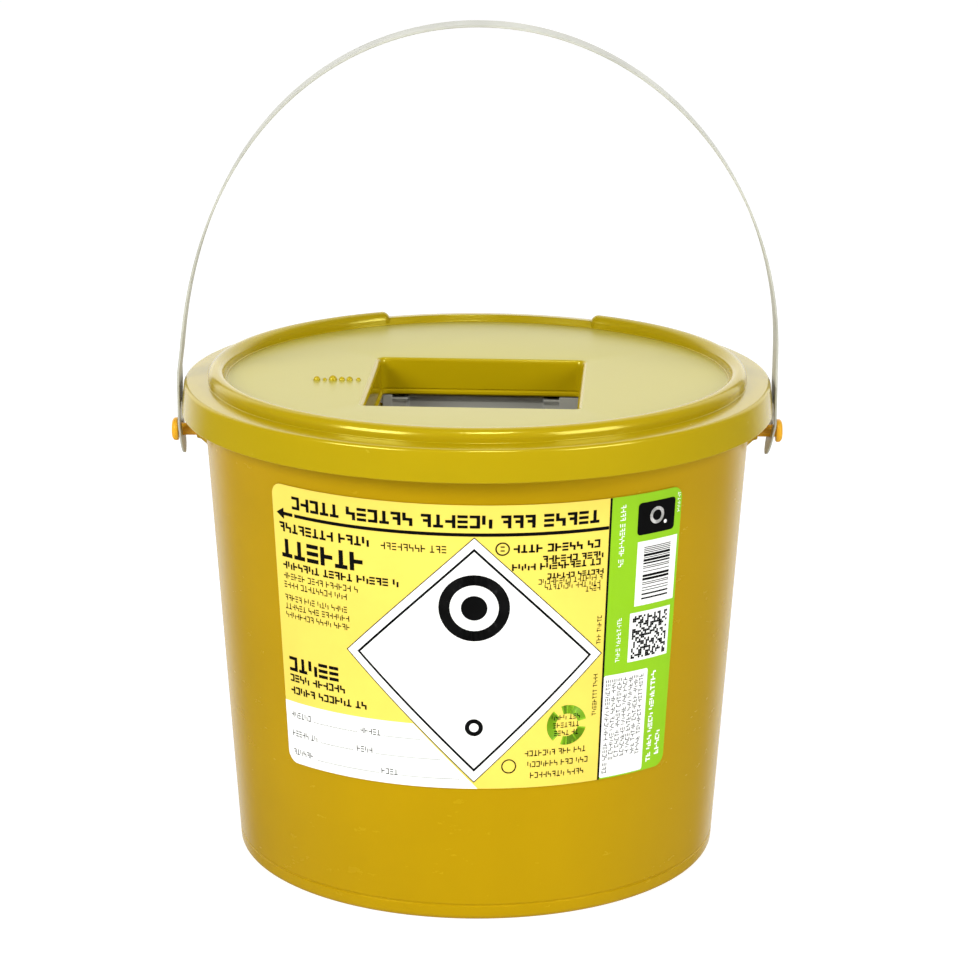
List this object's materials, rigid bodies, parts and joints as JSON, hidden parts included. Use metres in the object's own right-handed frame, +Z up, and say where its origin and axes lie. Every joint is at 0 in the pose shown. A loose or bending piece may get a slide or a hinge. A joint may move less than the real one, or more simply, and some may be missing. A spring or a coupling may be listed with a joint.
{
  "type": "sharps container",
  "caption": "Round tapered plastic container for used sharps, with a pressed-on lid, a chute closed by a sliding door, and a swinging strip handle.",
  "frame": {"origin": "centre of the base, on the plane that the foot ring stands on", "axes": "+Z up along the container's axis, -Y towards the front with the label, +X to the right stud"},
  "size_m": [0.2584, 0.2488, 0.3528],
  "materials": {
    "body_yellow": "satin moulded polypropylene",
    "lid_yellow": "satin moulded polypropylene",
    "stud_orange": "satin",
    "door_grey": "matte moulded plastic",
    "handle_metal": "plated steel strip",
    "label_film": "printed self-adhesive film"
  },
  "bodies": {
    "container": {"container_body": "body_yellow", "handle_stud_left": "stud_orange", "handle_stud_right": "stud_orange", "front_label": "label_film"},
    "lid": {"lid": "lid_yellow"},
    "door": {"sliding_door": "door_grey"},
    "handle": {"handle_strip": "handle_metal"}
  },
  "joints": [
    {"name": "handle_swing", "type": "hinge", "parent": "container", "child": "handle", "pos_m": [0, 0, 0.1807], "axis": [1, 0, 0], "range_deg": [-135, 135]},
    {"name": "lid_lift", "type": "slide", "parent": "container", "child": "lid", "axis": [0, 0, 1], "range_m": [0, 0.014]},
    {"name": "door_slide", "type": "slide", "parent": "lid", "child": "door", "axis": [-0.0576, -0.9983, 0], "range_m": [0, 0.06]}
  ]
}
